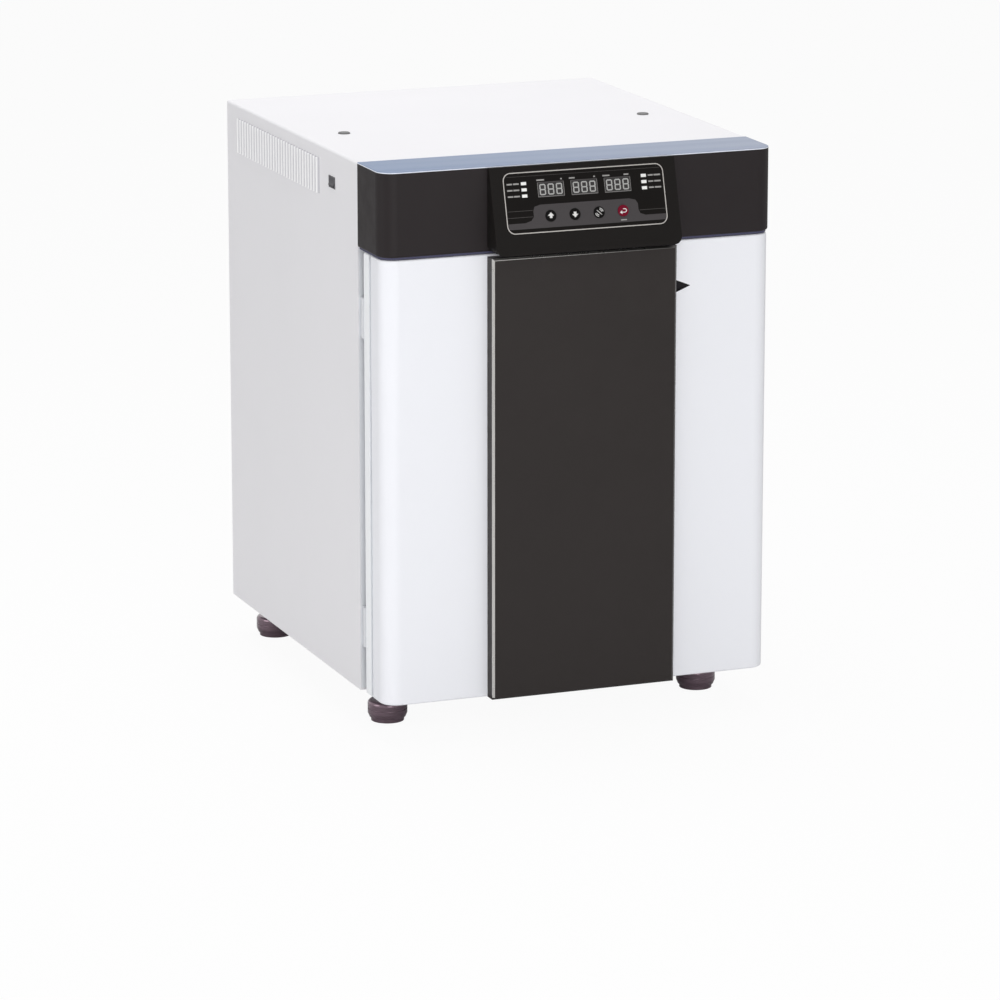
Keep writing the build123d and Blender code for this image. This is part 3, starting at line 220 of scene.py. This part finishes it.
# Case and door
for name in ("cabinet_paint", "louvred_paint"):
    finish(name, tint(237, 236, 239), 0.5, specular=0.3, shade=0.006, rough_spread=0.02,
           grain=0.06, grain_scale=700)
# The louvre hoods get painted shade at their roots and a painted highlight at their lips
paint_louvre_shade_and_highlight("louvred_paint", hood_share=0.1, painted_shade_share=0.35, painted_highlight_share=0.85)
finish("door_paint", tint(243, 244, 249), 0.35, coat=0.15, specular=0.3, shade=0.004,
       rough_spread=0.01)
finish("door_moulding", tint(250, 252, 255), 0.4, specular=0.3, shade=0.005, rough_spread=0.01)
finish("frame_moulding", tint(234, 236, 240), 0.4, shade=0.012, grain=0.08)
finish("hinge_paint", tint(218, 220, 224), 0.5, specular=0.3, shade=0.02)
# Painted shade: the door core's blue-grey is the shade in the groove beside the door
finish("groove_painted_shade", tint(186, 192, 205), 0.6, specular=0.2, shade=0.02)
finish("grey_plug", tint(104, 104, 104), 0.55, shade=0.05, grain=0.25)
finish("foot_dark", tint(112, 93, 103), 0.2, metallic=0.75, coat=0.5, shade=0.15, shade_scale=30)

# Head, door panel and controls
finish("head_black", tint(44, 40, 41), 0.45, specular=0.1, shade=0.04, grain=0.15,
       grain_scale=1200)
finish("block_black", tint(31, 29, 28), 0.5, specular=0.04, shade=0.04, grain=0.15,
       grain_scale=1200)
finish("overlay_black", tint(26, 24, 23), 0.55, specular=0.03, shade=0.04, grain=0.2,
       grain_scale=1500)
finish("panel_black", tint(48, 44, 43), 0.4, specular=0.15, shade=0.03, grain=0.08)
finish("scoop_black", tint(46, 44, 47), 0.8, specular=0.05, shade=0.05, grain=0.2)
finish("socket_black", tint(84, 83, 87), 0.5, shade=0.05, grain=0.25)
finish("rocker_black", tint(70, 69, 74), 0.4, specular=0.3, shade=0.04, grain=0.1)
finish("display_smoke", tint(78, 76, 76), 0.4, specular=0.1, shade=0.05)
finish("lamp_white", tint(238, 238, 236), 0.4, shade=0.01)
finish("key_black", tint(16, 15, 15), 0.5, specular=0.05, shade=0.06, grain=0.2)
finish("key_red", tint(112, 8, 36), 0.45, specular=0.1, shade=0.06, grain=0.15)
# The centre panel's trim is a silver painted highlight that fades into painted shade towards its
# right end, with painted shade along its underside
strip_painted_shade = tint(60, 57, 56)
strip_shaded_underside = 0.0035
finish("strip_highlight_and_shade", tint(205, 203, 200), 0.3, metallic=0.9, shade=0.03)
paint_light_across("strip_highlight_and_shade", "centre_panel_trim", 0.05, 0.9, strip_painted_shade, strip_shaded_underside, strip_painted_shade)
# The head's top trim is pale blue, with painted shade that makes it darker towards its left end
# and a painted highlight along its lowest edge
trim_highlight_edge = 0.0013
finish("trim_shade_and_highlight", tint(122, 139, 168), 0.4, metallic=0.1, specular=0.2, shade=0.03,
       grain=0.05, stretch=along_x)
paint_light_across("trim_shade_and_highlight", "head_top_trim", 0.0, 1.0, tint(146, 155, 175), trim_highlight_edge,
             tint(232, 237, 247))

# Seals, glass, fittings and what lies inside
clear_glass("door_glass", (0.93, 0.98, 0.96, 1), rough_scale=30, roughness=0.03)
# The dark blue seal strip under the head is coloured as painted shade of the gap between head
# and door
finish("dark_seal", tint(66, 66, 92), 0.7, shade=0.06, grain=0.3)
finish("white_seal", tint(222, 224, 228), 0.65, shade=0.03, grain=0.25)
finish("clear_seal", tint(206, 209, 214), 0.5, shade=0.02)
finish("stainless", tint(200, 200, 200), 0.3, metallic=1.0, shade=0.05, shade_scale=60,
       rough_spread=0.08, rough_scale=300, grain=0.25, grain_scale=500, stretch=along_x)
finish("fan_aluminium", tint(205, 207, 210), 0.35, metallic=1.0, shade=0.04, grain=0.15,
       stretch=along_y)
finish("motor_steel", tint(62, 63, 66), 0.45, shade=0.06, grain=0.3)
finish("mineral_wool", tint(206, 192, 140), 0.95, shade=0.25, shade_scale=160, grain=1.0,
       grain_scale=350)
finish("heater_film", tint(170, 84, 52), 0.5, shade=0.1, grain=0.2)
finish("latch_grey", tint(140, 143, 148), 0.4, shade=0.04, grain=0.15)
finish("stopper_white", tint(226, 226, 220), 0.6, shade=0.03, grain=0.2)
finish("gas_brass", tint(196, 172, 110), 0.28, metallic=1.0, shade=0.06, rough_scale=120)
finish("filter_white", tint(232, 235, 236), 0.45, shade=0.02)
finish("gas_pipe", tint(196, 197, 200), 0.25, metallic=1.0, shade=0.04)
finish("board_green", tint(38, 104, 62), 0.35, shade=0.12, shade_scale=120, grain=0.2)
finish("screw_zinc", tint(190, 192, 196), 0.35, metallic=1.0, specular=0.4, shade=0.06)

# Printing
finish("print_white", tint(226, 225, 223), 0.5, specular=0.1, shade=0.02)
finish("print_silver", tint(186, 182, 178), 0.4, metallic=0.2, specular=0.2, shade=0.04)
finish("print_band", tint(74, 71, 72), 0.55, specular=0.05, shade=0.03, grain=0.1)
finish("print_caption", tint(160, 158, 156), 0.5, specular=0.05, shade=0.05)
finish("print_dim", tint(82, 79, 78), 0.5, specular=0.05, shade=0.03)
finish("digit_lit", tint(176, 176, 174), 0.5, specular=0.1, shade=0.03)
finish("digit_dark", tint(62, 60, 60), 0.5, specular=0.05, shade=0.03)

# Pieces whose look isn't that of their material slot
own_looks = {"grip_insert": "scoop_black", "centre_panel_trim": "strip_highlight_and_shade",
             "control_block": "block_black", "left_side_panel": "louvred_paint",
             "right_side_panel": "louvred_paint", "door_core": "groove_painted_shade",
             "hinge_brackets": "hinge_paint", "door_hinge_leaves": "hinge_paint",
             "head_top_trim": "trim_shade_and_highlight"}

for part in frame["record"]["subparts"]:
    node = nodes[part["node"]]
    node.data.materials.clear()
    node.data.materials.append(looks[own_looks.get(part["node"], part["material_slot"])])


# The slanting face of the control block: u across, v down, h outwards, in millimetres.
# Its top edge lies top_reach, in metres, in front of the head
block_low, block_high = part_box("control_block")
head_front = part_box("head_shell")[0].y
top_reach = 0.006
slope_top = Vector((0, head_front - top_reach, block_high.z))
slope_foot = Vector((0, block_low.y, block_low.z))
slope_down = (slope_foot - slope_top).normalized()
slope_out = Vector((0, slope_down.z, -slope_down.y))


def on_slope(u, v, h):
    across = Vector((u / 1000, 0, 0))
    return slope_top + across + slope_down * (v / 1000) + slope_out * (h / 1000)


def place(name, bm, look, body):
    """Turn a finished bmesh into a piece that rides on a body."""
    bmesh.ops.recalc_face_normals(bm, faces=bm.faces)
    mesh = bpy.data.meshes.new(name)
    bm.to_mesh(mesh)
    bm.free()
    piece = bpy.data.objects.new(name, mesh)
    scene.collection.objects.link(piece)
    mesh.materials.append(looks[look])
    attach(piece, body)


def join_rings(bm, first, second):
    """Faces between two rings with the same number of corners."""
    count = len(first)
    for i in range(count):
        j = (i + 1) % count
        bm.faces.new((first[i], first[j], second[j], second[i]))


def slope_plates(name, outlines, h0, h1, look, body="cabinet"):
    """Flat plates on the slanting face, from outlines of (u, v) points."""
    bm = bmesh.new()
    for outline in outlines:
        lower = [bm.verts.new(on_slope(u, v, h0)) for u, v in outline]
        upper = [bm.verts.new(on_slope(u, v, h1)) for u, v in outline]
        bm.faces.new(upper)
        bm.faces.new(lower[::-1])
        join_rings(bm, lower, upper)
    place(name, bm, look, body)


def slope_ring(name, outer, inner, h0, h1, look):
    """A closed line between two outlines with the same number of points."""
    bm = bmesh.new()
    rings = [[bm.verts.new(on_slope(u, v, h)) for u, v in outline]
             for outline, h in ((outer, h0), (outer, h1), (inner, h1), (inner, h0))]
    for first, second in zip(rings, rings[1:] + rings[:1]):
        join_rings(bm, first, second)
    place(name, bm, look, "cabinet")


def bar(u0, u1, v0, v1):
    """Outline of a rectangle."""
    return [(u0, v0), (u1, v0), (u1, v1), (u0, v1)]


def rounded(half_width, v0, v1, radius, steps=8):
    """Outline of a rectangle about u = 0 with rounded corners."""
    u = half_width - radius
    corners = ((u, v0 + radius, -90), (u, v1 - radius, 0),
               (-u, v1 - radius, 90), (-u, v0 + radius, 180))
    points = []
    for u, v, start in corners:
        for i in range(steps + 1):
            angle = radians(start + 90 * i / steps)
            points.append((u + radius * cos(angle), v + radius * sin(angle)))
    return points


def segment(u0, v0, u1, v1, width):
    """Outline of a bar with pointed ends, from one point to another."""
    du, dv = u1 - u0, v1 - v0
    length = (du * du + dv * dv) ** 0.5
    eu, ev = du / length * width / 2, dv / length * width / 2
    nu, nv = -ev, eu
    return [(u0, v0), (u0 + eu + nu, v0 + ev + nv), (u1 - eu + nu, v1 - ev + nv), (u1, v1),
            (u1 - eu - nu, v1 - ev - nv), (u0 + eu - nu, v0 + ev - nv)]


# Silver line round the overlay
ink = 0.12
line_width = 1.4
outline_half = 126.4
outline_top = 8.6
outline_bottom = 98.8
outline_radius = 12.4
outer_line = rounded(outline_half, outline_top, outline_bottom, outline_radius)
inner_line = rounded(outline_half - line_width, outline_top + line_width,
                     outline_bottom - line_width, outline_radius - line_width)
slope_ring("overlay_outline", outer_line, inner_line, 0, ink, "print_silver")

# The grey band round the keys, in two halves that meet on the keys' middle line
band_ink = 0.06
key_row_v = 75.0
key_row_u = (-57, -19, 19, 57)
key_hole = 8.8
hole_steps = 12


def past_keys(side):
    """Points from right to left along the keys' middle line, bending round each key's hole."""
    points = []
    turns = [pi * i / hole_steps for i in range(hole_steps + 1)]
    for u in reversed(key_row_u):
        points += [(u + key_hole * cos(t), key_row_v + side * key_hole * sin(t)) for t in turns]
    return points


upper_half = [(-83.5, key_row_v), (-83.5, 66), (-81, 60.2), (-72, 57.7), (68.5, 57.7),
              (78, 60.2), (81.5, 66), (81.5, key_row_v)] + past_keys(-1)
lower_half = [(-83.5, key_row_v), (-88, 80.5), (-97.5, 83.3), (-125, 83.3), (-125, 86.4),
              (-123.4, 92), (123.4, 92), (125, 86.4), (125, 83.3), (92, 83.3), (84, 80.5),
              (81.5, key_row_v)] + past_keys(1)
slope_plates("key_band", [upper_half, lower_half], 0, band_ink, "print_band")
thin_lines = [bar(-124.6, -84.6, 65.0, 65.6), bar(-124.6, -84.6, 74.4, 75.0),
              bar(83, 124.6, 75.4, 76.0), bar(-121, 121, 14.8, 15.2)]
slope_plates("band_lines", thin_lines, 0, band_ink, "print_dim")

# Captions as plain bars: beside the lamps, over the displays and under the last key
lamp_rows = (25.5, 34.6, 43.7)
lamp_caption_spans = ((-121, -112.6), (-111.2, -102), (101.5, 109.4), (110.8, 121))
lamp_caption_half = 1.1
display_caption_row = (20.9, 22.9)
display_caption_spans = ((-74, -62), (-36.5, -34), (-23, -14), (15.5, 18), (30, 41), (63.5, 71))
key_caption = bar(52.5, 61.5, 87.6, 89.4)
captions = [bar(u0, u1, v - lamp_caption_half, v + lamp_caption_half)
            for v in lamp_rows for u0, u1 in lamp_caption_spans]
captions += [bar(u0, u1, *display_caption_row) for u0, u1 in display_caption_spans]
captions.append(key_caption)
slope_plates("captions", captions, 0, ink, "print_caption")

# Displays, each a dark field with three seven-segment figures and a thin painted highlight
# along the window's edge at three sides. All of it is printed on the lenses, whose fronts lie
# at lens_front, below the overlay's face
display_row = (-52.5, 0, 52.5)
display_half = 20.2
display_top = 26
display_bottom = 46
highlight_side = 0.4
highlight_foot = 0.5
highlight_ink = 0.08
field_ink = 0.04
lens_front = -0.3
figure_steps = (-13, 0, 13)
figure_width = 7.9
figure_height = 14.6
segment_width = 1.8
# From where to where each segment runs, in figure widths across and half heights down
segment_ends = ((0, 0, 1, 0), (0, 1, 1, 1), (0, 2, 1, 2), (0, 0, 0, 1), (1, 0, 1, 1),
                (0, 1, 0, 2), (1, 1, 1, 2))
fields = []
edge_highlights = []
figures = []
for display in display_row:
    left, right = display - display_half, display + display_half
    fields.append(bar(left, right, display_top, display_bottom))
    # Painted highlights along the window's left, right and bottom edges
    edge_highlights += [bar(left - highlight_side, left, display_top, display_bottom),
               bar(right, right + highlight_side, display_top, display_bottom),
               bar(left - highlight_side, right + highlight_side, display_bottom,
                   display_bottom + highlight_foot)]
    corner_v = (display_top + display_bottom - figure_height) / 2
    for step in figure_steps:
        corner_u = display + step - figure_width / 2
        for a, b, c, d in segment_ends:
            figures.append(segment(corner_u + a * figure_width, corner_v + b * figure_height / 2,
                                   corner_u + c * figure_width, corner_v + d * figure_height / 2,
                                   segment_width))
slope_plates("display_edge_highlights", edge_highlights, lens_front, lens_front + highlight_ink, "print_caption")
slope_plates("display_fields", fields, lens_front, lens_front + field_ink, "digit_dark")
slope_plates("display_figures", figures, lens_front, lens_front + ink, "digit_lit")

# Signs on the keys, whose faces stand key_face out of the overlay
key_face = 0.8
up_u, down_u, mute_u, set_u = key_row_u
arrow_points = ((0, 4.9), (4.9, 0), (2.1, 0), (2.1, -3.4), (-2.1, -3.4), (-2.1, 0), (-4.9, 0))


def arrow(u, v, way):
    """Outline of an arrow that points up for -1 and down for 1."""
    return [(u + a, v + way * b) for a, b in arrow_points]


def arc_band(u, v, radius, width, start, stop, steps=8):
    """Outline of a curved bar between two angles, in degrees."""
    turns = [radians(start + (stop - start) * i / steps) for i in range(steps + 1)]
    outer, inner = radius + width / 2, radius - width / 2
    return ([(u + outer * cos(t), v + outer * sin(t)) for t in turns]
            + [(u + inner * cos(t), v + inner * sin(t)) for t in reversed(turns)])


# Sound waves with a stroke through them, and an arrow that bends back
wave_radii = (6.2, 4.0)
wave_starts = (-80, 100)
wave_turn = 70
wave_width = 0.9
waves = [arc_band(mute_u, key_row_v, radius, wave_width, start, start + wave_turn)
         for radius in wave_radii for start in wave_starts]
stroke_u = 3.8
stroke_v = 3.6
stroke_width = 0.8
stroke = segment(mute_u - stroke_u, key_row_v - stroke_v, mute_u + stroke_u,
                 key_row_v + stroke_v, stroke_width)
bend_u = set_u + 2.6
bend_radius = 2.5
bend_width = 1.2
bent_arrow = [bar(set_u - 0.4, bend_u, 71.8, 73),
              arc_band(bend_u, 74.9, bend_radius, bend_width, -90, 90),
              bar(set_u - 2, bend_u, 76.8, 78),
              [(set_u - 5.6, 77.4), (set_u - 1.8, 74.6), (set_u - 1.8, 80.2)]]
signs = {"up": [arrow(up_u, key_row_v, -1)], "down": [arrow(down_u, key_row_v, 1)],
         "mute": waves + [stroke], "set": bent_arrow}
for name, outlines in signs.items():
    slope_plates("sign_" + name, outlines, key_face, key_face + ink, "print_white",
                 "key_" + name)

# Pan-head screws that hold the rear sheet
screw_inset = 0.012
screw_radius = 0.0035
screw_sides = 16
recess_share = 0.34
recess_waist = 0.45
recess_depth = 0.35
screw_profile = ((1.0, 0.0), (1.0, 0.18), (0.86, 0.4), (0.55, 0.55), (recess_share, 0.58))


def screw_head(bm, centre, out):
    """A domed head with a cross recess, standing on centre and facing along out."""
    turn = Vector((0, 0, 1)).rotation_difference(out).to_matrix()
    spot = Matrix.Translation(centre) @ turn.to_4x4()
    rings = []
    for share, rise in screw_profile:
        ring = []
        for i in range(screw_sides):
            angle = 2 * pi * i / screw_sides
            pinched = share == recess_share and i % 4
            reach = share * (recess_waist if pinched else 1.0) * screw_radius
            corner = Vector((reach * cos(angle), reach * sin(angle), rise * screw_radius))
            ring.append(bm.verts.new(spot @ corner))
        rings.append(ring)
    sink = turn @ Vector((0, 0, recess_depth * screw_radius))
    rings.append([bm.verts.new(corner.co - sink) for corner in rings[-1]])
    for lower, upper in zip(rings, rings[1:]):
        join_rings(bm, lower, upper)
    bm.faces.new(rings[-1])
    bm.faces.new(rings[0][::-1])


def spaced(low, high, count):
    """Evenly spaced values from edge to edge, both ends drawn in by the screws' inset."""
    span = high - low - 2 * screw_inset
    return [low + screw_inset + span * i / (count - 1) for i in range(count)]


back_low, back_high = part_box("back_panel")
across = spaced(back_low.x, back_high.x, 5)
upward = spaced(back_low.z, back_high.z, 6)
rim = [(x, z) for x in across for z in (upward[0], upward[-1])]
rim += [(x, z) for x in (across[0], across[-1]) for z in upward[1:-1]]
screws = bmesh.new()
for x, z in rim:
    screw_head(screws, Vector((x, back_high.y, z)), Vector((0, 1, 0)))
place("rear_screws", screws, "screw_zinc", "cabinet")

# Camera: the pinhole that was fitted to the photograph's corners
camera_turn = radians(21.253)
camera_drop = radians(13.759)
camera_aim = Vector((0.03124, 0.058, 0.25534))
camera_range = 7.9317
camera_lens = 182.45
sensor_width = 36
sight = Vector((sin(camera_turn) * cos(camera_drop), cos(camera_turn) * cos(camera_drop),
                -sin(camera_drop)))
camera = bpy.data.objects.new("camera", bpy.data.cameras.new("camera"))
scene.collection.objects.link(camera)
camera.location = camera_aim - sight * camera_range
camera.rotation_euler = sight.to_track_quat("-Z", "Y").to_euler()
camera.data.lens = camera_lens
camera.data.sensor_width = sensor_width
camera.data.clip_end = 100
scene.camera = camera

# Floor and light
white = (1, 1, 1, 1)
floor_half = 12
floor_colour = (0.8, 0.8, 0.8, 1)
floor_roughness = 0.9
floor_glow = 0.94
world_light = 0.42


def stage_material():
    """Pale floor that looks nearly white to the camera and still takes the object's shadow."""
    material, tree, shader = new_material("stage")
    set_inputs(shader, {"Base Color": floor_colour, "Roughness": floor_roughness})
    glow = tree.nodes.new("ShaderNodeEmission")
    path = tree.nodes.new("ShaderNodeLightPath")
    share = arithmetic(tree, "MULTIPLY", path.outputs["Is Camera Ray"], floor_glow)
    mix_at_output(tree, share, shader.outputs[0], glow.outputs[0], "Material Output")
    return material


def soft_lamp(name, spot, aim, size, power):
    lamp = bpy.data.objects.new(name, bpy.data.lights.new(name, "AREA"))
    scene.collection.objects.link(lamp)
    lamp.data.shape = "DISK"
    lamp.data.size = size
    lamp.data.energy = power
    lamp.location = spot
    lamp.rotation_euler = (Vector(aim) - Vector(spot)).to_track_quat("-Z", "Y").to_euler()


def studio_world():
    """Even white light, which the camera, mirrors and glass see as a plain white room."""
    world = bpy.data.worlds.new("studio")
    world.use_nodes = True
    tree = world.node_tree
    light = tree.nodes["Background"]
    set_inputs(light, {"Color": white, "Strength": world_light})
    room = tree.nodes.new("ShaderNodeBackground")
    set_inputs(room, {"Color": white, "Strength": 1.0})
    rays = tree.nodes.new("ShaderNodeLightPath").outputs
    seen = arithmetic(tree, "ADD", rays["Is Camera Ray"], rays["Is Transmission Ray"])
    seen = arithmetic(tree, "ADD", seen, rays["Is Glossy Ray"], clamp=True)
    mix_at_output(tree, seen, light.outputs[0], room.outputs[0], "World Output")
    return world


floor_mesh = bpy.data.meshes.new("floor")
floor_mesh.from_pydata([(-floor_half, -floor_half, 0), (floor_half, -floor_half, 0),
                        (floor_half, floor_half, 0), (-floor_half, floor_half, 0)], [],
                       [(0, 1, 2, 3)])
floor = bpy.data.objects.new("floor", floor_mesh)
scene.collection.objects.link(floor)
floor.data.materials.append(stage_material())

soft_lamp("lamp_top", spot=(0.0, 0.6, 3.8), aim=(0, 0, 0.5), size=2.6, power=60)
soft_lamp("lamp_front", spot=(-0.6, -3.8, 1.3), aim=(0, 0, 0.4), size=2.2, power=54)
soft_lamp("lamp_left", spot=(-3.6, -0.4, 1.4), aim=(0, 0, 0.4), size=2.2, power=26)
scene.world = studio_world()
scene.view_settings.view_transform = "Standard"
